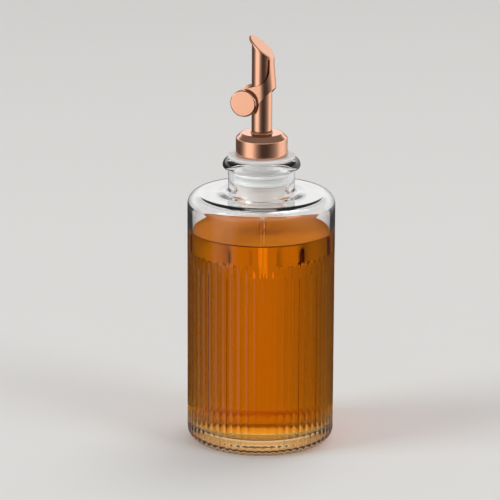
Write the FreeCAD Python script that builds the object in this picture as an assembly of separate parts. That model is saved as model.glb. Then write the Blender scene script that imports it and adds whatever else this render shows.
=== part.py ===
import FreeCAD, Part
import math
import os

# Syrup dispenser: a ribbed glass bottle of syrup, closed by a silicone stopper that carries a metal
# pouring spout with a weighted flap.
# Millimetres. The base centre is the origin and +Z is up. The spout pours towards -X, and the flap
# turns on a pin along Y.

# Bottle
BODY_R = 37.5
FOOT_FILLET = 6.0
SHOULDER_Z = 130.2
SHOULDER_FILLET = 6.0
NECK_R = 16.95
NECK_ROOT_Z = 130.8
NECK_ROOT_FILLET = 1.5
LIP_R = 19.75
LIP_UNDER_Z = 142.6
LIP_EDGE_Z = 143.6
LIP_TOP_Z = 148.2
MOUTH_R = 14.0
CAVITY_R = 35.0
CAVITY_TOP_Z = 127.7
FLOOR_Z = 8.5
FLOOR_FILLET = 5.0

# Vertical flutes round the body, run out over the foot and rounded at the top
FLUTE_COUNT = 60
FLUTE_DEPTH = 0.55
FLUTE_CUTTER_R = 3.0
FLUTE_FULL_Z = 92.3
FLUTE_TOP_Z = 100.8
FLUTE_FOOT_DEG = 58.0

# Syrup
SYRUP_Z = 110.6

# Stopper: plug with sealing rings, flange on the lip and head inside the cap
PLUG_BOTTOM_Z = 121.0
PLUG_BOTTOM_R = 10.7
PLUG_TAPER_TOP_Z = 134.0
PLUG_R = 12.9
RING_HEIGHTS = (136.6, 140.6, 144.6)
RING_HALF_LAND = 0.45
RING_HALF_ROOT = 1.3
FLANGE_R = 17.0
FLANGE_TOP_Z = 149.9
FLANGE_FILLET = 0.6

# Cap
CAP_R = 13.1
CAP_SKIN = 0.8
CAP_BEVEL_Z = 158.7
CAP_TOP_Z = 161.3
CAP_TOP_R = 10.5
CAP_FOOT_R = 5.6
CAP_FOOT_Z = 161.9

# Spout and vent tubes
SPOUT_R = 5.2
SPOUT_BORE_R = 4.4
VENT_R = 1.75
VENT_BORE_R = 1.3
VENT_X = 3.15
VENT_Y = -7.1
VENT_BOTTOM_Z = 90.3

# Flap: slanted lid, arm down the back of the tube, and two legs astride it
LID_TIP_X = -6.6
LID_TIP_Z = 211.4
LID_CREASE_X = 6.2
LID_CREASE_Z = 200.3
LID_HALF_WIDTH = 6.2
LID_THICK = 1.2
LID_GAP = 0.3
LID_ROUND = 0.5
STRAP_R = 5.65
STRAP_THICK = 0.55
STRAP_STAND_OFF = 1.0
STRAP_LOW_Z = 186.0
STRAP_HIGH_Z = 197.0
ARM_FACE_X = 5.2
ARM_ROOT_Z = 188.3
ARM_ROOT_FILLET = 7.7
LEG_EDGE_X = 0.17
LEG_EDGE_Z = 177.4
LEG_EDGE_DEG = 47.0
EAR_R = 6.6

# Pivot and the two counterweight discs on the legs' ears
PIVOT_Z = 181.5
PIN_R = 0.9
PIN_RUNNING_GAP = 0.05
WEIGHT_X = -7.2
WEIGHT_Z = 177.3
WEIGHT_R = 6.85
WEIGHT_THICK = 2.4
WEIGHT_ROUND = 0.8

UP = FreeCAD.Vector(0, 0, 1)
ORIGIN = FreeCAD.Vector(0, 0, 0)


def rounded_face(corners):
    """Face in the XZ plane whose outline runs through (x, z, corner radius) corners."""
    spans = []
    for index, (x, z, radius) in enumerate(corners):
        corner = FreeCAD.Vector(x, 0, z)
        before = corners[index - 1]
        after = corners[(index + 1) % len(corners)]
        if radius == 0:
            spans.append((corner, None, corner))
            continue
        back = (FreeCAD.Vector(before[0], 0, before[1]) - corner).normalize()
        ahead = (FreeCAD.Vector(after[0], 0, after[1]) - corner).normalize()
        half_angle = back.getAngle(ahead) / 2
        reach = radius / math.tan(half_angle)
        middle = (back + ahead).normalize()
        crown = corner + middle * (radius / math.sin(half_angle) - radius)
        spans.append((corner + back * reach, crown, corner + ahead * reach))
    edges = []
    for index, (start, crown, end) in enumerate(spans):
        if crown is not None:
            edges.append(Part.Arc(start, crown, end).toShape())
        following = spans[(index + 1) % len(spans)][0]
        if end.distanceToPoint(following) > 1e-6:
            edges.append(Part.makeLine(end, following))
    return Part.Face(Part.Wire(edges))


def turned(corners):
    """Solid of revolution about Z."""
    return rounded_face(corners).revolve(ORIGIN, UP, 360)


def upright(radius, bottom, top, x=0.0, y=0.0):
    """Vertical cylinder."""
    return Part.makeCylinder(radius, top - bottom, FreeCAD.Vector(x, y, bottom), UP)


def crossways(radius, half_length, x, z):
    """Cylinder along Y, centred on y = 0."""
    start = FreeCAD.Vector(x, -half_length, z)
    return Part.makeCylinder(radius, 2 * half_length, start, FreeCAD.Vector(0, 1, 0))


def across(face, half_width):
    """Prism along Y, centred on y = 0, from a face in the XZ plane."""
    moved = face.translated(FreeCAD.Vector(0, -half_width, 0))
    return moved.extrude(FreeCAD.Vector(0, 2 * half_width, 0))


def under_lid(offset):
    """Block of all that lies at least the offset below the lid's top plane."""
    slope = math.degrees(math.atan2(LID_TIP_Z - LID_CREASE_Z, LID_CREASE_X - LID_TIP_X))
    corner = FreeCAD.Vector(-150, -150, -300 - offset)
    block = Part.makeBox(300, 300, 300, corner)
    block.rotate(ORIGIN, FreeCAD.Vector(0, 1, 0), slope)
    block.translate(FreeCAD.Vector(LID_TIP_X, 0, LID_TIP_Z))
    return block


def flute_cutter():
    """Round cutter that runs out of the wall at the top and follows it in under the foot."""
    centre_r = BODY_R - FLUTE_DEPTH + FLUTE_CUTTER_R
    start = FreeCAD.Vector(centre_r, 0, FOOT_FILLET)
    disc = Part.Face(Part.Wire(Part.makeCircle(FLUTE_CUTTER_R, start, UP)))
    rise = FreeCAD.Vector(0, 0, FLUTE_FULL_Z - FOOT_FILLET)
    shaft = disc.extrude(rise)
    foot_centre = FreeCAD.Vector(BODY_R - FOOT_FILLET, 0, FOOT_FILLET)
    bend = disc.revolve(foot_centre, FreeCAD.Vector(0, 1, 0), FLUTE_FOOT_DEG)
    tail = Part.makeSphere(FLUTE_CUTTER_R, start)
    tail.rotate(foot_centre, FreeCAD.Vector(0, 1, 0), FLUTE_FOOT_DEG)
    runout_r = (FLUTE_TOP_Z - FLUTE_FULL_Z) ** 2 / (2 * FLUTE_DEPTH)
    runout_centre = FreeCAD.Vector(centre_r + runout_r, 0, FLUTE_FULL_Z)
    runout_deg = math.degrees(math.acos(1 - 1.5 * FLUTE_DEPTH / runout_r))
    runout = disc.translated(rise).revolve(runout_centre, FreeCAD.Vector(0, 1, 0), runout_deg)
    return shaft.fuse([bend, tail, runout]).removeSplitter()


def make_bottle():
    glass = turned(
        [
            (0, 0, 0),
            (BODY_R, 0, FOOT_FILLET),
            (BODY_R, SHOULDER_Z, SHOULDER_FILLET),
            (NECK_R, NECK_ROOT_Z, NECK_ROOT_FILLET),
            (NECK_R, LIP_UNDER_Z, 0.8),
            (LIP_R, LIP_EDGE_Z, 1.4),
            (LIP_R, LIP_TOP_Z, 3.6),
            (MOUTH_R, LIP_TOP_Z, 1.0),
            (MOUTH_R, CAVITY_TOP_Z, 4.3),
            (CAVITY_R, CAVITY_TOP_Z, 3.45),
            (CAVITY_R, FLOOR_Z, FLOOR_FILLET),
            (0, FLOOR_Z, 0),
        ]
    )
    cutter = flute_cutter()
    cutters = []
    for index in range(FLUTE_COUNT):
        turned_cutter = cutter.copy()
        turned_cutter.rotate(ORIGIN, UP, 360.0 * index / FLUTE_COUNT)
        cutters.append(turned_cutter)
    return glass.cut(cutters)


def make_vent_tube():
    tube = upright(VENT_R, VENT_BOTTOM_Z, LIP_TOP_Z, VENT_X, VENT_Y)
    bore = upright(VENT_BORE_R, VENT_BOTTOM_Z, LIP_TOP_Z, VENT_X, VENT_Y)
    return tube.cut(bore)


def make_syrup(vent_tube):
    """The syrup fills the cavity to its level, inside and outside the vent tube."""
    fill = turned(
        [
            (0, FLOOR_Z, 0),
            (CAVITY_R, FLOOR_Z, FLOOR_FILLET),
            (CAVITY_R, SYRUP_Z, 0),
            (0, SYRUP_Z, 0),
        ]
    )
    return fill.cut(vent_tube)


def make_stopper():
    inner_cap_r = CAP_R - CAP_SKIN
    corners = [
        (SPOUT_R, PLUG_BOTTOM_Z, 0),
        (PLUG_BOTTOM_R, PLUG_BOTTOM_Z, 0.8),
        (PLUG_R - 0.5, PLUG_TAPER_TOP_Z, 0),
        (PLUG_R, PLUG_TAPER_TOP_Z, 0),
    ]
    for height in RING_HEIGHTS:
        corners += [
            (PLUG_R, height - RING_HALF_ROOT, 0),
            (MOUTH_R, height - RING_HALF_LAND, 0),
            (MOUTH_R, height + RING_HALF_LAND, 0),
            (PLUG_R, height + RING_HALF_ROOT, 0),
        ]
    corners += [
        (PLUG_R, LIP_TOP_Z, 0),
        (FLANGE_R, LIP_TOP_Z, 0.3),
        (FLANGE_R, FLANGE_TOP_Z, FLANGE_FILLET),
        (inner_cap_r, FLANGE_TOP_Z, 0),
        (inner_cap_r, CAP_BEVEL_Z, 0),
        (CAP_TOP_R, CAP_TOP_Z - CAP_SKIN, 0),
        (SPOUT_R, CAP_TOP_Z - CAP_SKIN, 0),
    ]
    vent_hole = upright(VENT_R, PLUG_BOTTOM_Z, LIP_TOP_Z, VENT_X, VENT_Y)
    return turned(corners).cut(vent_hole)


def make_cap():
    inner_cap_r = CAP_R - CAP_SKIN
    return turned(
        [
            (inner_cap_r, FLANGE_TOP_Z, 0),
            (CAP_R, FLANGE_TOP_Z, 0.2),
            (CAP_R, CAP_BEVEL_Z, 0.8),
            (CAP_TOP_R, CAP_TOP_Z, 1.5),
            (CAP_FOOT_R, CAP_TOP_Z, 0.2),
            (CAP_FOOT_R, CAP_FOOT_Z, 0.3),
            (SPOUT_R, CAP_FOOT_Z, 0),
            (SPOUT_R, CAP_TOP_Z - CAP_SKIN, 0),
            (CAP_TOP_R, CAP_TOP_Z - CAP_SKIN, 0),
            (inner_cap_r, CAP_BEVEL_Z, 0),
        ]
    )


def make_spout(pin):
    """Tube cut off on the slant just under the lid, and drilled for the pivot pin."""
    tube = upright(SPOUT_R, PLUG_BOTTOM_Z, LID_TIP_Z + 5)
    bore = upright(SPOUT_BORE_R, PLUG_BOTTOM_Z, LID_TIP_Z + 5)
    slanted = tube.cut(bore).common(under_lid(LID_THICK + LID_GAP))
    return slanted.cut(pin)


def make_strap():
    """Bent sheet: a channel round the back of the tube, leaning in towards the lid, with
    straight legs past both sides of the tube."""
    outer_r = STRAP_R + STRAP_THICK
    end_x = WEIGHT_X - 2 * EAR_R
    edges = [
        Part.makeLine(FreeCAD.Vector(end_x, -outer_r, 0), FreeCAD.Vector(0, -outer_r, 0)),
        Part.makeCircle(outer_r, ORIGIN, UP, -90, 90),
        Part.makeLine(FreeCAD.Vector(0, outer_r, 0), FreeCAD.Vector(end_x, outer_r, 0)),
        Part.makeLine(FreeCAD.Vector(end_x, outer_r, 0), FreeCAD.Vector(end_x, STRAP_R, 0)),
        Part.makeLine(FreeCAD.Vector(end_x, STRAP_R, 0), FreeCAD.Vector(0, STRAP_R, 0)),
        Part.makeCircle(STRAP_R, ORIGIN, UP, -90, 90),
        Part.makeLine(FreeCAD.Vector(0, -STRAP_R, 0), FreeCAD.Vector(end_x, -STRAP_R, 0)),
        Part.makeLine(FreeCAD.Vector(end_x, -STRAP_R, 0), FreeCAD.Vector(end_x, -outer_r, 0)),
    ]
    section = Part.Face(Part.Wire(edges))
    bottom_z = WEIGHT_Z - EAR_R
    low = section.translated(FreeCAD.Vector(STRAP_STAND_OFF, 0, bottom_z))
    knee = section.translated(FreeCAD.Vector(STRAP_STAND_OFF, 0, STRAP_LOW_Z))
    high = section.translated(FreeCAD.Vector(0, 0, STRAP_HIGH_Z))
    upright_part = low.extrude(FreeCAD.Vector(0, 0, STRAP_LOW_Z - bottom_z))
    leaning_part = knee.extrude(FreeCAD.Vector(-STRAP_STAND_OFF, 0, STRAP_HIGH_Z - STRAP_LOW_Z))
    top_part = high.extrude(FreeCAD.Vector(0, 0, LID_TIP_Z - STRAP_HIGH_Z))
    return upright_part.fuse([leaning_part, top_part]).removeSplitter()


def lid_column():
    """Upright column filling the lid's outline, with a rounded edge round its slanted top."""
    back = Part.makeCircle(LID_HALF_WIDTH, ORIGIN, UP, -90, 90)
    front = Part.Ellipse(ORIGIN, -LID_TIP_X, LID_HALF_WIDTH).toShape(math.pi / 2, 3 * math.pi / 2)
    column = Part.Face(Part.Wire([back, front])).extrude(FreeCAD.Vector(0, 0, LID_TIP_Z + 5))
    column = column.common(under_lid(0))
    rim = [edge for edge in column.Edges if edge.BoundBox.ZMin > LID_CREASE_Z - 1]
    return column.makeFillet(LID_ROUND, rim)


def make_flap():
    """Lid, arm and legs in one piece, drilled for the pivot pin."""
    column = lid_column()
    lid = column.cut(under_lid(LID_THICK))
    slope = math.radians(LEG_EDGE_DEG)
    far_x = LID_CREASE_X + 3
    far_z = LEG_EDGE_Z + (far_x - LEG_EDGE_X) * math.tan(slope)
    near_z = LEG_EDGE_Z + (WEIGHT_X - LEG_EDGE_X) * math.tan(slope)
    root_run = math.hypot(ARM_FACE_X - WEIGHT_X, ARM_ROOT_Z - WEIGHT_Z)
    root_deg = math.degrees(math.atan2(ARM_ROOT_Z - WEIGHT_Z, ARM_FACE_X - WEIGHT_X))
    touch = math.radians(root_deg - math.degrees(math.asin(EAR_R / root_run)) + 90)
    side_view = rounded_face(
        [
            (ARM_FACE_X, LID_TIP_Z + 5, 0),
            (ARM_FACE_X, ARM_ROOT_Z, ARM_ROOT_FILLET),
            (WEIGHT_X + EAR_R * math.cos(touch), WEIGHT_Z + EAR_R * math.sin(touch), 0),
            (WEIGHT_X, near_z, 0),
            (far_x, far_z, 0),
            (far_x, LID_TIP_Z + 5, 0),
        ]
    )
    outline = across(side_view, 10).fuse(crossways(EAR_R, 10, WEIGHT_X, WEIGHT_Z))
    strap = make_strap().common(outline)
    above_lid = Part.makeBox(30, 30, 30, FreeCAD.Vector(-15, -15, STRAP_HIGH_Z)).cut(column)
    pin_hole = crossways(PIN_R + PIN_RUNNING_GAP, 12, 0, PIVOT_Z)
    return lid.fuse(strap.cut(above_lid)).removeSplitter().cut(pin_hole)


def make_weight(side):
    """Disc with a rounded outer rim, flat against the leg on the given side of the tube."""
    inner_y = side * (STRAP_R + STRAP_THICK)
    axis = FreeCAD.Vector(0, side, 0)
    start = FreeCAD.Vector(WEIGHT_X, inner_y, WEIGHT_Z)
    disc = Part.makeCylinder(WEIGHT_R, WEIGHT_THICK, start, axis)
    rims = []
    for edge in disc.Edges:
        if edge.Closed and abs(edge.CenterOfMass.y) > abs(inner_y) + WEIGHT_THICK / 2:
            rims.append(edge)
    return disc.makeFillet(WEIGHT_ROUND, rims)


def main():
    vent_tube = make_vent_tube()
    pin = crossways(PIN_R, STRAP_R + STRAP_THICK, 0, PIVOT_Z)
    parts = {
        "bottle": make_bottle(),
        "syrup": make_syrup(vent_tube),
        "stopper": make_stopper(),
        "cap": make_cap(),
        "spout": make_spout(pin),
        "vent_tube": vent_tube,
        "pivot_pin": pin,
        "flap": make_flap(),
        "counterweight_left": make_weight(-1),
        "counterweight_right": make_weight(1),
    }
    os.makedirs("parts", exist_ok=True)
    for name, shape in parts.items():
        if len(shape.Solids) != 1:
            raise ValueError("%s has %d solids" % (name, len(shape.Solids)))
        shape.Solids[0].exportStep("parts/%s.step" % name)


main()
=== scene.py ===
import math

import bpy
import numpy as np
from mathutils import Matrix, Vector


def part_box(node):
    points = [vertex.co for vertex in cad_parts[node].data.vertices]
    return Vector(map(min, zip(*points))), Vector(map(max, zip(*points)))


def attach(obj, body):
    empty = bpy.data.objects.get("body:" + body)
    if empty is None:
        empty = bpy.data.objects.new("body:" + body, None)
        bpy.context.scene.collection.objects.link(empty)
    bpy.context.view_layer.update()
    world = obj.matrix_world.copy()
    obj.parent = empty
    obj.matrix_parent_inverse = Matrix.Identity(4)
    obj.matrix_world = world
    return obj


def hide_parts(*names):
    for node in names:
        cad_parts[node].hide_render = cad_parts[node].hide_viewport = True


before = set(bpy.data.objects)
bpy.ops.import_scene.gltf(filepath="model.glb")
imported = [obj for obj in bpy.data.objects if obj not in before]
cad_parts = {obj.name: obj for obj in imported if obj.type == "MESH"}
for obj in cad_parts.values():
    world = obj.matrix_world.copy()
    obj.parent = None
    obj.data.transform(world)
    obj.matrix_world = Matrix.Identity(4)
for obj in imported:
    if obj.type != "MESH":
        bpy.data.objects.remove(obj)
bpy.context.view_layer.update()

MM = 0.001

# Sizes that the CAD boxes don't give, in millimetres, as in the CAD part
FOOT_FILLET = 6.0
SHOULDER_Z = 130.2
SHOULDER_FILLET = 6.0
NECK_R = 16.95
NECK_ROOT_Z = 130.8
NECK_ROOT_FILLET = 1.5
LIP_UNDER_Z = 142.6
LIP_EDGE_Z = 143.6
LIP_R = 19.75
MOUTH_R = 14.0
CAVITY_TOP_Z = 127.7
FLOOR_FILLET = 5.0
FLUTE_COUNT = 60
FLUTE_DEPTH = 0.55
FLUTE_CUTTER_R = 3.0
FLUTE_FULL_Z = 92.3
FLUTE_TOP_Z = 100.8
FLUTE_FOOT_DEG = 58.0
PLUG_BOTTOM_R = 10.7
PLUG_TAPER_TOP_Z = 134.0
PLUG_R = 12.9
RING_HEIGHTS = (136.6, 140.6, 144.6)
RING_HALF_LAND = 0.45
RING_HALF_ROOT = 1.3
FLANGE_FILLET = 0.6
CAP_SKIN = 0.8

# Sizes of the visual model alone, in millimetres: how far the syrup reaches into the glass and
# climbs up it, the film that keeps silicone off glass and metal, and the rounding of the flutes
OVERLAP = 0.2
MENISCUS_RISE = 1.0
MENISCUS_REACH = 4.5
MENISCUS_FALL = 0.6522
FILM = 0.05
RIDGE_ROUNDING = 0.16
ROUNDING_TRIM = 0.003

# Rings that the bottle's flat underside is made of, and where its foot begins
UNDERSIDE_RINGS = (0, 6, 14, 22, 26)
FOOT_START_R = 28.0

# Points round a ring: so many to each flute, and so many where the surface is plain
POINTS_PER_FLUTE = 16
PLAIN_POINTS = 240
STOPPER_POINTS = 192

COPPER_NODES = ("cap", "spout", "pivot_pin", "flap", "counterweight_left", "counterweight_right")


def box_mm(name):
    low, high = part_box(name)
    return [v / MM for v in low], [v / MM for v in high]


# ---------------------------------------------------------------- mesh tools


def rounded_path(corners, closed=False, step=6.0, support=0.5):
    """Points (r, z) along an outline with rounded corners; straight runs get support points."""
    spans = []
    count = len(corners)
    for i, (r, z, radius) in enumerate(corners):
        p = np.array((r, z), float)
        if radius <= 0 or (not closed and i in (0, count - 1)):
            spans.append([p])
            continue
        a = np.array(corners[i - 1][:2], float) - p
        b = np.array(corners[(i + 1) % count][:2], float) - p
        a /= np.linalg.norm(a)
        b /= np.linalg.norm(b)
        half = math.acos(max(-1.0, min(1.0, float(a @ b)))) / 2
        reach = radius / math.tan(half)
        mid = (a + b) / np.linalg.norm(a + b)
        centre = p + mid * radius / math.sin(half)
        start = p + a * reach - centre
        end = p + b * reach - centre
        a0 = math.atan2(start[1], start[0])
        a1 = math.atan2(end[1], end[0])
        turn = (a1 - a0 + math.pi) % (2 * math.pi) - math.pi
        n = max(3, math.ceil(abs(math.degrees(turn)) / step))
        arc = []
        for k in range(n + 1):
            t = a0 + turn * k / n
            arc.append(centre + radius * np.array((math.cos(t), math.sin(t))))
        spans.append(arc)
    path = []
    for i, span in enumerate(spans):
        path += span
        if i + 1 == count and not closed:
            break
        nxt = spans[(i + 1) % count][0]
        last = span[-1]
        length = float(np.linalg.norm(nxt - last))
        if length > 2.5 * support:
            unit = (nxt - last) / length
            path += [last + unit * support, nxt - unit * support]
    out = [path[0]]
    for p in path[1:]:
        if np.linalg.norm(p - out[-1]) > 1e-4:
            out.append(p)
    return np.array(out)


def new_mesh(name, verts, faces, smooth=True, sharp=None):
    mesh = bpy.data.meshes.new(name)
    mesh.from_pydata([tuple(v) for v in verts], [], faces)
    mesh.validate()
    mesh.polygons.foreach_set("use_smooth", [smooth] * len(mesh.polygons))
    if sharp is not None:
        mesh.set_sharp_from_angle(angle=math.radians(sharp))
    mesh.update()
    obj = bpy.data.objects.new(name, mesh)
    bpy.context.scene.collection.objects.link(obj)
    return obj


class Lathe:
    """Builds a turned surface ring by ring; rings may change their number of points."""

    def __init__(self):
        self.verts = []
        self.faces = []
        self.last = None

    def ring(self, points):
        first = len(self.verts)
        self.verts += [(x * MM, y * MM, z * MM) for x, y, z in points]
        ids = list(range(first, first + len(points)))
        self.join(ids)
        return ids

    def even_ring(self, r, z, n):
        """A ring of n points, or the pole's one point where the radius is nothing."""
        if r < 1e-6:
            return self.ring([(0, 0, z)])
        angles = np.arange(n) * 2 * math.pi / n
        return self.ring([(r * math.cos(a), r * math.sin(a), z) for a in angles])

    def join(self, ids):
        prev, self.last = self.last, ids
        if prev is None:
            return
        if len(prev) == len(ids):
            for k in range(len(ids)):
                j = (k + 1) % len(ids)
                self.faces.append((prev[k], prev[j], ids[j], ids[k]))
        elif len(prev) > len(ids):
            self.faces += self.fans(prev, ids)
        else:
            self.faces += [face[::-1] for face in self.fans(ids, prev)]

    def fans(self, fine, coarse):
        """Triangles between a ring and one with a whole number of times fewer points."""
        share = len(fine) // len(coarse)
        faces = []
        for k, near in enumerate(coarse):
            far = coarse[(k + 1) % len(coarse)]
            for s in range(share):
                a = fine[k * share + s]
                b = fine[(k * share + s + 1) % len(fine)]
                faces.append((a, b, near if s < share / 2 else far))
            if len(coarse) > 1:
                middle = fine[(k * share + math.ceil(share / 2)) % len(fine)]
                faces.append((middle, far, near))
        return faces

    def build(self, name, sharp=None):
        return new_mesh(name, self.verts, self.faces, sharp=sharp)


# ---------------------------------------------------------------- bottle


def flute_depth(r, z, across, body_r):
    """Depth of the flutes round one ring, and the tilt of the wall that they are cut into."""
    past_foot, tilt, run_out = 0.0, 0.0, 0.0
    fillet_r = body_r - FOOT_FILLET
    if z < FOOT_FILLET:
        turn = math.atan2(FOOT_FILLET - z, r - fillet_r)
        if r <= fillet_r:
            turn = math.pi / 2 + (fillet_r - r) / FOOT_FILLET
        past = max(0.0, turn - math.radians(FLUTE_FOOT_DEG))
        centre_path = FOOT_FILLET - FLUTE_DEPTH + FLUTE_CUTTER_R
        past_foot = centre_path * math.sin(min(past, math.pi / 2))
        tilt = min(turn, math.pi / 2)
    elif z > FLUTE_FULL_Z:
        run_out = FLUTE_DEPTH * ((z - FLUTE_FULL_Z) / (FLUTE_TOP_Z - FLUTE_FULL_Z)) ** 2
    room = FLUTE_CUTTER_R**2 - past_foot**2 - (across * r / body_r) ** 2
    depth = np.sqrt(np.maximum(room, 0.0)) - (FLUTE_CUTTER_R - FLUTE_DEPTH) - run_out
    depth = np.where(room > 0, depth, -1.0)
    depth = 0.5 * (depth + np.sqrt(depth**2 + RIDGE_ROUNDING**2)) - ROUNDING_TRIM
    return np.maximum(depth, 0.0), tilt


def fluted_wall(lathe, body_r, floor_z, points):
    """Rings up the foot and the wall, pushed in by the flutes along the outline's normal."""
    mid_z = 80.0
    foot = [(FOOT_START_R, 0, 0), (body_r, 0, FOOT_FILLET), (body_r, mid_z, 0)]
    rows = [tuple(p) for p in rounded_path(foot, step=3.0) if p[1] < floor_z]
    rows += [(body_r, z) for z in (floor_z + 0.5, 20.0, mid_z)]
    rows += [(body_r, z) for z in np.linspace(FLUTE_FULL_Z - 2.0, FLUTE_TOP_Z + 0.6, 30)]
    angles = np.arange(points) * 2 * math.pi / points
    pitch = 2 * math.pi / FLUTE_COUNT
    across = ((angles + pitch / 2) % pitch - pitch / 2) * body_r
    for r, z in rows:
        depth, tilt = flute_depth(r, z, across, body_r)
        rr = r - depth * math.cos(tilt)
        zz = z + depth * math.sin(tilt)
        ring = np.stack([rr * np.cos(angles), rr * np.sin(angles), zz], axis=1)
        lathe.ring([tuple(p) for p in ring])


def bottle():
    high = box_mm("bottle")[1]
    body_r, top_z = high[0], high[2]
    cavity_r = box_mm("syrup")[1][0]
    floor_z = box_mm("syrup")[0][2]
    fluted_points = FLUTE_COUNT * POINTS_PER_FLUTE
    lathe = Lathe()
    for r in UNDERSIDE_RINGS:
        lathe.even_ring(r, 0, PLAIN_POINTS)
    fluted_wall(lathe, body_r, floor_z, fluted_points)
    shoulder = [
        (body_r, FLUTE_TOP_Z + 1.5, 0),
        (body_r, SHOULDER_Z, SHOULDER_FILLET),
        (NECK_R + 8, SHOULDER_Z, 0),
    ]
    for r, z in rounded_path(shoulder, step=5.0):
        lathe.even_ring(r, z, fluted_points)
    neck_and_inside = [
        (NECK_R + 6, SHOULDER_Z, 0),
        (NECK_R, NECK_ROOT_Z, NECK_ROOT_FILLET),
        (NECK_R, LIP_UNDER_Z, 0.8),
        (LIP_R, LIP_EDGE_Z, 1.4),
        (LIP_R, top_z, 3.6),
        (MOUTH_R, top_z, 1.0),
        (MOUTH_R, CAVITY_TOP_Z, 4.3),
        (cavity_r, CAVITY_TOP_Z, 3.45),
        (cavity_r, floor_z, FLOOR_FILLET),
        (0, floor_z, 0),
    ]
    for r, z in rounded_path(neck_and_inside, step=5.0):
        lathe.even_ring(r, z, PLAIN_POINTS)
    return lathe.build("bottle_glass")


# ---------------------------------------------------------------- syrup


def syrup():
    """The fill: its side reaches into the glass, and its top creeps up the wall."""
    low, high = box_mm("syrup")
    wall_r, level = high[0], high[2]
    r, floor_z = wall_r + OVERLAP, low[2] - OVERLAP
    outline = [
        (0, floor_z, 0),
        (r, floor_z, FLOOR_FILLET + OVERLAP),
        (r, level + MENISCUS_RISE, 0),
    ]
    path = [tuple(p) for p in rounded_path(outline, step=5.0)]
    for inward in np.linspace(0, MENISCUS_REACH, 13):
        path.append((wall_r - inward, level + MENISCUS_RISE * math.exp(-inward / MENISCUS_FALL)))
    path += [(r * share, level) for share in (0.82, 0.7, 0.5, 0.25, 0)]
    lathe = Lathe()
    for ring_r, z in path:
        lathe.even_ring(ring_r, z, PLAIN_POINTS)
    return lathe.build("syrup_fill")


# ---------------------------------------------------------------- stopper


def stopper():
    low, high = box_mm("stopper")
    bore_r = box_mm("spout")[1][0] - FILM
    flange_r = high[0]
    lip_z = box_mm("bottle")[1][2] + FILM
    flange_z = box_mm("cap")[0][2]
    core_r = box_mm("cap")[1][0] - CAP_SKIN - FILM
    core_z = flange_z + 5.0
    corners = [
        (bore_r, low[2], 0.3),
        (PLUG_BOTTOM_R, low[2], 1.0),
        (PLUG_R - 0.5, PLUG_TAPER_TOP_Z, 0.2),
        (PLUG_R, PLUG_TAPER_TOP_Z + 0.15, 0.2),
    ]
    for z in RING_HEIGHTS:
        corners += [
            (PLUG_R, z - RING_HALF_ROOT, 0.4),
            (MOUTH_R - FILM, z - RING_HALF_LAND, 0.4),
            (MOUTH_R - FILM, z + RING_HALF_LAND, 0.4),
            (PLUG_R, z + RING_HALF_ROOT, 0.4),
        ]
    corners += [
        (PLUG_R, lip_z, 0.4),
        (flange_r, lip_z, 0.3),
        (flange_r, flange_z, FLANGE_FILLET),
        (core_r, flange_z, 0),
        (core_r, core_z, 0),
        (bore_r, core_z, 0),
    ]
    path = rounded_path(corners, closed=True, support=0.4)
    lathe = Lathe()
    first = lathe.even_ring(*path[0], STOPPER_POINTS)
    for r, z in path[1:]:
        lathe.even_ring(r, z, STOPPER_POINTS)
    lathe.join(first)
    return lathe.build("stopper_silicone", sharp=40)


# ---------------------------------------------------------------- nodes


def node(tree, kind, **values):
    n = tree.nodes.new(kind)
    for key, value in values.items():
        if key in n.inputs:
            n.inputs[key].default_value = value
        else:
            setattr(n, key, value)
    return n


def ranged(tree, value, source=(0.0, 1.0), target=(0.0, 1.0), blend="LINEAR"):
    n = node(tree, "ShaderNodeMapRange", interpolation_type=blend)
    n.inputs["From Min"].default_value, n.inputs["From Max"].default_value = source
    n.inputs["To Min"].default_value, n.inputs["To Max"].default_value = target
    tree.links.new(value, n.inputs["Value"])
    return n.outputs[0]


def compare(tree, value, operation, threshold):
    n = node(tree, "ShaderNodeMath", operation=operation)
    n.inputs[1].default_value = threshold
    tree.links.new(value, n.inputs[0])
    return n.outputs[0]


def at_least(tree, depth, count):
    """1 where a light path's whole-number depth has come to the count, else 0."""
    return compare(tree, depth, "GREATER_THAN", count - 0.5)


def below(tree, depth, count):
    """1 where a light path's whole-number depth is under the count, else 0."""
    return compare(tree, depth, "LESS_THAN", count - 0.5)


def both(tree, first, second):
    n = node(tree, "ShaderNodeMath", operation="MULTIPLY")
    tree.links.new(first, n.inputs[0])
    tree.links.new(second, n.inputs[1])
    return n.outputs[0]


def ramp(tree, value, stops):
    """Colours at places from 0 to 1, with an even blend between them."""
    n = node(tree, "ShaderNodeValToRGB")
    marks = n.color_ramp.elements
    while len(marks) < len(stops):
        marks.new(0.5)
    for mark, (place, colour) in zip(marks, stops):
        mark.position = place
        mark.color = (*colour, 1)
    tree.links.new(value, n.inputs[0])
    return n.outputs[0]


def noise(tree, scale, detail=2.0, rough=0.5, stretch=(1, 1, 1)):
    coord = node(tree, "ShaderNodeTexCoord")
    mapping = node(tree, "ShaderNodeMapping", Scale=stretch)
    tree.links.new(coord.outputs["Object"], mapping.inputs["Vector"])
    tex = node(tree, "ShaderNodeTexNoise", Scale=scale, Detail=detail, Roughness=rough)
    tree.links.new(mapping.outputs[0], tex.inputs["Vector"])
    return tex.outputs["Fac"]


def switch(tree, share, first, second):
    """The first shader where the share is 0, the second where it is 1."""
    mix = node(tree, "ShaderNodeMixShader")
    tree.links.new(share, mix.inputs[0])
    tree.links.new(first, mix.inputs[1])
    tree.links.new(second, mix.inputs[2])
    return mix.outputs[0]


# ---------------------------------------------------------------- materials


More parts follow.
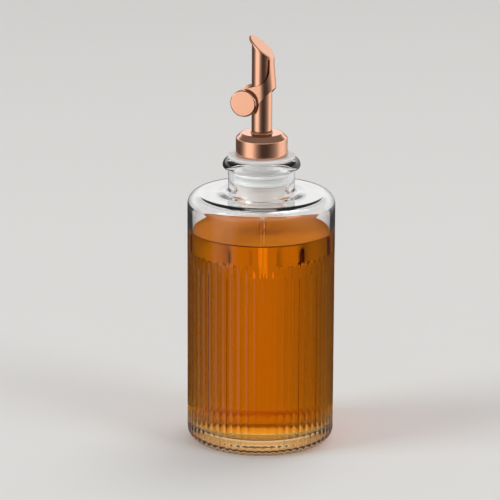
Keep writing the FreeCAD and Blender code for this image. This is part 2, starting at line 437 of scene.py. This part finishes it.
def material(name, **values):
    """A material with one Principled shader, whose named inputs are set."""
    mat = bpy.data.materials.new(name)
    mat.use_nodes = True
    tree = mat.node_tree
    tree.nodes.clear()
    out = node(tree, "ShaderNodeOutputMaterial")
    bsdf = node(tree, "ShaderNodeBsdfPrincipled")
    for key, value in values.items():
        bsdf.inputs[key.replace("_", " ")].default_value = value
    tree.links.new(bsdf.outputs[0], out.inputs["Surface"])
    return mat, tree, bsdf, out


def bump(tree, bsdf, height, strength, distance):
    n = node(tree, "ShaderNodeBump", Strength=strength, Distance=distance)
    tree.links.new(height, n.inputs["Height"])
    tree.links.new(n.outputs[0], bsdf.inputs["Normal"])


def mottle(tree, bsdf, tone, dark, light):
    """Base colour that wanders between two close tones."""
    colour = ramp(tree, tone, [(0.0, dark), (1.0, light)])
    tree.links.new(colour, bsdf.inputs["Base Color"])


def painted_edge_shade(tree, bsdf, stops, tint):
    """Painted shade: base colour that darkens where the surface turns away."""
    edge = node(tree, "ShaderNodeLayerWeight", Blend=0.5)
    marks = [(facing, tuple(level * v for v in tint)) for facing, level in stops]
    tree.links.new(ramp(tree, edge.outputs["Facing"], marks), bsdf.inputs["Base Color"])


def let_lamps_through(tree, bsdf, out, tint):
    """Shadow rays pass the glass, tinted, so that what is inside is lit."""
    path = node(tree, "ShaderNodeLightPath")
    clear = node(tree, "ShaderNodeBsdfTransparent", Color=tint)
    seen = switch(tree, path.outputs["Is Shadow Ray"], bsdf.outputs[0], clear.outputs[0])
    tree.links.new(seen, out.inputs["Surface"])


BLACK = (0, 0, 0, 1)
WHITE = (1, 1, 1, 1)
# Painted shade: how much light the base colour lets in, by how far the surface turns away
FOOT_PAINTED_SHADE = [(0.0, 1.0), (0.08, 0.95), (0.30, 0.55), (0.60, 0.40)]
SYRUP_PAINTED_SHADE = [(0.0, 1.0), (0.03, 0.97), (0.10, 0.80), (0.17, 0.66), (0.25, 0.52), (0.40, 0.45)]


def glass_material(name, glint=WHITE, painted_syrup_glow=False):
    mat, tree, bsdf, out = material(
        name,
        Specular_Tint=glint,
        Base_Color=(0.985, 0.992, 0.99, 1),
        Transmission_Weight=1.0,
        IOR=1.5,
        Roughness=0.0,
    )
    # Painted glow: the foot is tinted amber for light from the syrup, and its edges get painted
    # shade
    if painted_syrup_glow:
        painted_edge_shade(tree, bsdf, FOOT_PAINTED_SHADE, (1.0, 0.50, 0.13))
    waves = noise(tree, 60.0, 1.0, 0.4, (1, 1, 0.35))
    bump(tree, bsdf, waves, strength=0.12, distance=0.0006)
    let_lamps_through(tree, bsdf, out, (0.93, 0.94, 0.935, 1))
    return mat


def syrup_material():
    mat, tree, bsdf, out = material(
        "amber_syrup", Transmission_Weight=1.0, IOR=1.46, Roughness=0.0, Specular_Tint=BLACK
    )
    # Painted shade: the syrup's base colour darkens towards its edges
    painted_edge_shade(tree, bsdf, SYRUP_PAINTED_SHADE, (1.0, 0.97, 0.9))
    absorb = node(tree, "ShaderNodeVolumeAbsorption", Color=(0.954, 0.783, 0.05, 1), Density=120.0)
    tree.links.new(absorb.outputs[0], out.inputs["Volume"])
    let_lamps_through(tree, bsdf, out, (0.62, 0.60, 0.50, 1))
    return mat


def syrup_surface_material():
    mat, tree, bsdf, out = material(
        "amber_syrup_surface", Roughness=0.05, IOR=1.46, Specular_IOR_Level=0.15
    )
    mottle(tree, bsdf, noise(tree, 45.0, 1.0), (0.43, 0.115, 0.002), (0.53, 0.155, 0.003))
    let_lamps_through(tree, bsdf, out, (0.93, 0.86, 0.48, 1))
    return mat


def silicone_material():
    mat, tree, bsdf, out = material(
        "silicone",
        Roughness=0.38,
        IOR=1.41,
        Subsurface_Weight=0.6,
        Subsurface_Radius=(0.004, 0.004, 0.004),
        Subsurface_Scale=1.0,
    )
    mottle(tree, bsdf, noise(tree, 90.0, 3.0), (0.80, 0.805, 0.80), (0.86, 0.865, 0.86))
    bump(tree, bsdf, noise(tree, 900.0), strength=0.08, distance=0.0002)
    return mat


def copper_material(name, dark, light):
    mat, tree, bsdf, out = material(name, Metallic=1.0)
    mottle(tree, bsdf, noise(tree, 60.0, 3.0), dark, light)
    grain = noise(tree, 1400.0, 2.0, 0.6)
    roughness = ranged(tree, grain, target=(0.15, 0.23))
    tree.links.new(roughness, bsdf.inputs["Roughness"])
    bump(tree, bsdf, grain, strength=0.06, distance=0.0001)
    return mat


# ---------------------------------------------------------------- surroundings

# What metal and glass mirror or let through is set apart from what the camera sees directly.
# Each list is (bearing, brightness), with the bearing in degrees from +X towards +Y.
# Mirrored from the studio and the far floor
MIRRORED = [
    (-180, 0.12),
    (-174, 0.18),
    (-164, 0.28),
    (-150, 0.80),
    (-138, 1.25),
    (-114, 1.25),
    (-104, 0.80),
    (-95, 0.45),
    (-86, 0.22),
    (-71, 0.06),
    (-46, 0.06),
    (-28, 0.15),
    (-9, 0.33),
    (2, 0.55),
    (17, 1.05),
    (42, 1.10),
    (60, 0.80),
    (80, 0.45),
    (109, 0.25),
    (135, 0.12),
    (180, 0.10),
]
# Mirrored from the floor close by
MIRRORED_LOW = [
    (-180, 0.03),
    (-155, 0.03),
    (-143, 0.50),
    (-118, 0.50),
    (-106, 0.03),
    (20, 0.03),
    (80, 0.05),
    (110, 0.05),
    (180, 0.03),
]
# Seen through clear glass
THROUGH_CLEAR = [
    (-180, 0.62),
    (-161, 0.60),
    (-116, 0.72),
    (-71, 0.72),
    (-26, 0.66),
    (19, 0.60),
    (64, 0.68),
    (109, 0.72),
    (154, 0.68),
    (180, 0.62),
]
# Seen straight through the syrup: brightest along the photo's line of sight and square to it
LOBE_MIDDLES = (-161, -71, 19, 109)
LOBE = [(-40, 0.36), (-26, 0.50), (-12, 0.77), (0, 0.80), (12, 0.77), (26, 0.50), (40, 0.36)]
THROUGH_SYRUP = [
    (middle + turn, level)
    for middle in LOBE_MIDDLES
    for turn, level in LOBE
    if middle + turn >= -180
]
# Seen after a turn inside the syrup
TURNED_BACK = [(-180, 1.35), (-100, 1.35), (-80, 0.95), (-50, 0.95), (-30, 1.30), (180, 1.35)]
# The brightness that a ramp's white stands for
PEAK = 1.4
# Brightness of what is mirrored twice, of the floor beside the foot, and overhead
DIM = 0.12
FOOT_GLOW = 0.6
UPPER_WALLS = 1.3
CEILING = 0.2
# Light on matt surfaces, and what the camera sees behind the object
AMBIENT = 0.35
AMBIENT_COLOUR = (1, 0.975, 0.95, 1)
BACKDROP_COLOUR = (0.8, 0.8, 0.79, 1)

# Where one gives way to the next: on the floor in metres from the axis, in the sky by height
FOOT_TO_LOW = (0.055, 0.09)
LOW_TO_HIGH = (0.45, 0.52)
HORIZON_TO_WALLS = (0.08, 0.24)
WALLS_TO_CEILING = (0.32, 0.45)

# Glass surfaces that a ray crosses in one wall, and on its way through the whole empty bottle
WALL_CROSSINGS = 2
EMPTY_CROSSINGS = 4


def by_bearing(tree, kind, place, stops):
    """A glow whose level goes by the bearing round the upright axis."""
    parts = node(tree, "ShaderNodeSeparateXYZ")
    tree.links.new(place, parts.inputs[0])
    bearing = node(tree, "ShaderNodeMath", operation="ARCTAN2")
    tree.links.new(parts.outputs["Y"], bearing.inputs[0])
    tree.links.new(parts.outputs["X"], bearing.inputs[1])
    share = ranged(tree, bearing.outputs[0], source=(-math.pi, math.pi))
    marks = [((degrees + 180) / 360, (level / PEAK,) * 3) for degrees, level in stops]
    shader = node(tree, kind, Strength=PEAK)
    tree.links.new(ramp(tree, share, marks), shader.inputs["Color"])
    return shader.outputs[0]


def even_glow(tree, kind, level, colour=WHITE):
    return node(tree, kind, Color=colour, Strength=level).outputs[0]


def seen_through(tree, kind, place, path):
    """What rays meet after glass: more crossings than the empty bottle has mean syrup."""
    clear = by_bearing(tree, kind, place, THROUGH_CLEAR)
    straight = by_bearing(tree, kind, place, THROUGH_SYRUP)
    back = by_bearing(tree, kind, place, TURNED_BACK)
    turned = at_least(tree, path.outputs["Glossy Depth"], 1)
    filled = at_least(tree, path.outputs["Transmission Depth"], EMPTY_CROSSINGS + 1)
    return switch(tree, filled, clear, switch(tree, turned, straight, back))


def floor_material():
    """A plain matte floor, which glows by itself for rays that metal or glass sends on."""
    mat, tree, bsdf, out = material(
        "floor_matte",
        Base_Color=(0.80, 0.795, 0.785, 1),
        Roughness=0.8,
        Specular_IOR_Level=0.2,
    )
    kind = "ShaderNodeEmission"
    path = node(tree, "ShaderNodeLightPath")
    place = node(tree, "ShaderNodeTexCoord").outputs["Object"]
    length = node(tree, "ShaderNodeVectorMath", operation="LENGTH")
    tree.links.new(place, length.inputs[0])
    reach = length.outputs["Value"]
    past_foot = ranged(tree, reach, source=FOOT_TO_LOW, blend="SMOOTHSTEP")
    far = ranged(tree, reach, source=LOW_TO_HIGH, blend="SMOOTHSTEP")
    low = by_bearing(tree, kind, place, MIRRORED_LOW)
    high = by_bearing(tree, kind, place, MIRRORED)
    mirrored = switch(tree, far, low, high)
    mirrored = switch(tree, past_foot, even_glow(tree, kind, FOOT_GLOW), mirrored)
    twice = at_least(tree, path.outputs["Glossy Depth"], 2)
    mirrored = switch(tree, twice, mirrored, even_glow(tree, kind, DIM))
    # A ray that the inside of the near wall sends back meets the low surroundings too
    through = seen_through(tree, kind, place, path)
    turned = at_least(tree, path.outputs["Glossy Depth"], 1)
    one_wall = below(tree, path.outputs["Transmission Depth"], WALL_CROSSINGS + 1)
    off_inside = switch(tree, far, low, through)
    through = switch(tree, both(tree, turned, one_wall), through, off_inside)
    seen = switch(tree, path.outputs["Is Glossy Ray"], bsdf.outputs[0], mirrored)
    seen = switch(tree, path.outputs["Is Transmission Ray"], seen, through)
    tree.links.new(seen, out.inputs["Surface"])
    return mat


def studio_world():
    """An even pale studio, with its own levels for rays that metal or glass sends on."""
    world = bpy.data.worlds.new("studio")
    bpy.context.scene.world = world
    world.use_nodes = True
    tree = world.node_tree
    tree.nodes.clear()
    out = node(tree, "ShaderNodeOutputWorld")
    kind = "ShaderNodeBackground"
    path = node(tree, "ShaderNodeLightPath")
    place = node(tree, "ShaderNodeTexCoord").outputs["Generated"]
    parts = node(tree, "ShaderNodeSeparateXYZ")
    tree.links.new(place, parts.inputs[0])
    up = parts.outputs["Z"]
    above_horizon = ranged(tree, up, source=HORIZON_TO_WALLS)
    above_walls = ranged(tree, up, source=WALLS_TO_CEILING)
    walls = even_glow(tree, kind, UPPER_WALLS)
    overhead = switch(tree, above_walls, walls, even_glow(tree, kind, CEILING))
    mirrored = switch(tree, above_horizon, by_bearing(tree, kind, place, MIRRORED), overhead)
    twice = at_least(tree, path.outputs["Glossy Depth"], 2)
    mirrored = switch(tree, twice, mirrored, even_glow(tree, kind, DIM))
    # A ray that the syrup's surface sends out of the far wall meets the low surroundings
    through = seen_through(tree, kind, place, path)
    turned = at_least(tree, path.outputs["Glossy Depth"], 1)
    past_wall = at_least(tree, path.outputs["Transmission Depth"], WALL_CROSSINGS + 1)
    unfilled = below(tree, path.outputs["Transmission Depth"], EMPTY_CROSSINGS + 1)
    low = by_bearing(tree, kind, place, MIRRORED_LOW)
    off_surface = switch(tree, past_wall, through, switch(tree, unfilled, through, low))
    through = switch(tree, turned, through, off_surface)
    ambient = even_glow(tree, kind, AMBIENT, AMBIENT_COLOUR)
    backdrop = even_glow(tree, kind, 1.0, BACKDROP_COLOUR)
    seen = switch(tree, path.outputs["Is Glossy Ray"], ambient, mirrored)
    seen = switch(tree, path.outputs["Is Transmission Ray"], seen, through)
    seen = switch(tree, path.outputs["Is Camera Ray"], seen, backdrop)
    tree.links.new(seen, out.inputs["Surface"])


# ---------------------------------------------------------------- pieces


def paint(obj, *materials):
    obj.data.materials.clear()
    for mat in materials:
        obj.data.materials.append(mat)


def paint_bottle(piece):
    """Clear glass, with a slot for the wall beside the syrup and one for the foot below it, whose
    amber is a painted glow.
    """
    wet = glass_material("wet_glass", glint=BLACK)
    foot = glass_material("foot_glass_painted_glow", painted_syrup_glow=True)
    paint(piece, glass_material("clear_glass"), wet, foot)
    low, high = box_mm("syrup")
    inside_r = high[0] + 0.01
    foot_z, wet_z = low[2] - 0.1, high[2] + MENISCUS_RISE
    for face in piece.data.polygons:
        x, y, z = (v / MM for v in face.center)
        if math.hypot(x, y) < inside_r and FLOOR_FILLET < z < wet_z:
            face.material_index = 1
        elif z < foot_z:
            face.material_index = 2


def paint_syrup(piece):
    """Clear amber, with a slot for the upper surface."""
    paint(piece, syrup_material(), syrup_surface_material())
    level = box_mm("syrup")[1][2]
    for face in piece.data.polygons:
        if face.center.z / MM > level - 0.02 and face.normal.z > 0.3:
            face.material_index = 1


glass_piece = bottle()
paint_bottle(glass_piece)
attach(glass_piece, "dispenser")
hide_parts("bottle")

syrup_piece = syrup()
paint_syrup(syrup_piece)
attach(syrup_piece, "dispenser")
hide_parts("syrup")

stopper_piece = stopper()
paint(stopper_piece, silicone_material())
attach(stopper_piece, "dispenser")
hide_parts("stopper")

copper = copper_material("copper_satin", (0.90, 0.455, 0.29), (0.94, 0.49, 0.32))
for name in COPPER_NODES:
    paint(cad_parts[name], copper)
tube_metal = copper_material("pale_copper_tube", (0.93, 0.66, 0.32), (0.96, 0.70, 0.36))
paint(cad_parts["vent_tube"], tube_metal)

# ---------------------------------------------------------------- stage

# In metres; the floor lies just under the bottle's foot, so that the two faces don't coincide
FLOOR_HALF = 20.0
FLOOR_Z = -0.0001
LAMP_TARGET = (0, 0, 0.1)
# Name, place, width and height, power in watts
LAMPS = (
    ("key", (-1.9, -1.5, 1.9), (1.2, 1.6), 35),
    ("fill", (2.2, -0.6, 1.5), (1.0, 1.6), 18),
    ("top", (0.3, 1.2, 2.6), (1.6, 1.6), 22),
)


def area_light(name, place, size, power):
    data = bpy.data.lights.new(name, "AREA")
    data.shape = "RECTANGLE"
    data.size, data.size_y = size
    data.energy = power
    lamp = bpy.data.objects.new(name, data)
    bpy.context.scene.collection.objects.link(lamp)
    lamp.location = place
    aim = (Vector(LAMP_TARGET) - Vector(place)).to_track_quat("-Z", "Y")
    lamp.rotation_euler = aim.to_euler()
    lamp.visible_glossy = False


corners = ((-1, -1), (1, -1), (1, 1), (-1, 1))
floor_points = [(x * FLOOR_HALF, y * FLOOR_HALF, FLOOR_Z) for x, y in corners]
floor = new_mesh("floor", floor_points, [(0, 1, 2, 3)], smooth=False)
paint(floor, floor_material())
for lamp in LAMPS:
    area_light(*lamp)
studio_world()

# ---------------------------------------------------------------- camera

# Degrees, metres and, for the lens, millimetres on a sensor 36 mm wide. The camera looks from
# AZIMUTH round from the front at a point AIM_LEFT to the left of the axis
AZIMUTH = 19.0
ELEVATION = 15.9
ROLL = 0.26
DISTANCE = 1.68
AIM_Z = 0.0996
AIM_LEFT = 0.00565
LENS = 237.6


def studio_camera():
    az, el = math.radians(AZIMUTH), math.radians(ELEVATION)
    away = Vector((math.sin(az) * math.cos(el), -math.cos(az) * math.cos(el), math.sin(el)))
    right = Vector((math.cos(az), math.sin(az), 0))
    data = bpy.data.cameras.new("camera")
    data.lens = LENS
    data.clip_end = 50
    camera = bpy.data.objects.new("camera", data)
    bpy.context.scene.collection.objects.link(camera)
    middle = Vector((0, 0, AIM_Z))
    location = middle + away * DISTANCE
    look = (middle - right * AIM_LEFT - location).to_track_quat("-Z", "Y").to_matrix().to_4x4()
    roll = Matrix.Rotation(math.radians(ROLL), 4, "Z")
    camera.matrix_world = Matrix.Translation(location) @ look @ roll
    bpy.context.scene.camera = camera


studio_camera()
bpy.context.scene.view_settings.view_transform = "Standard"
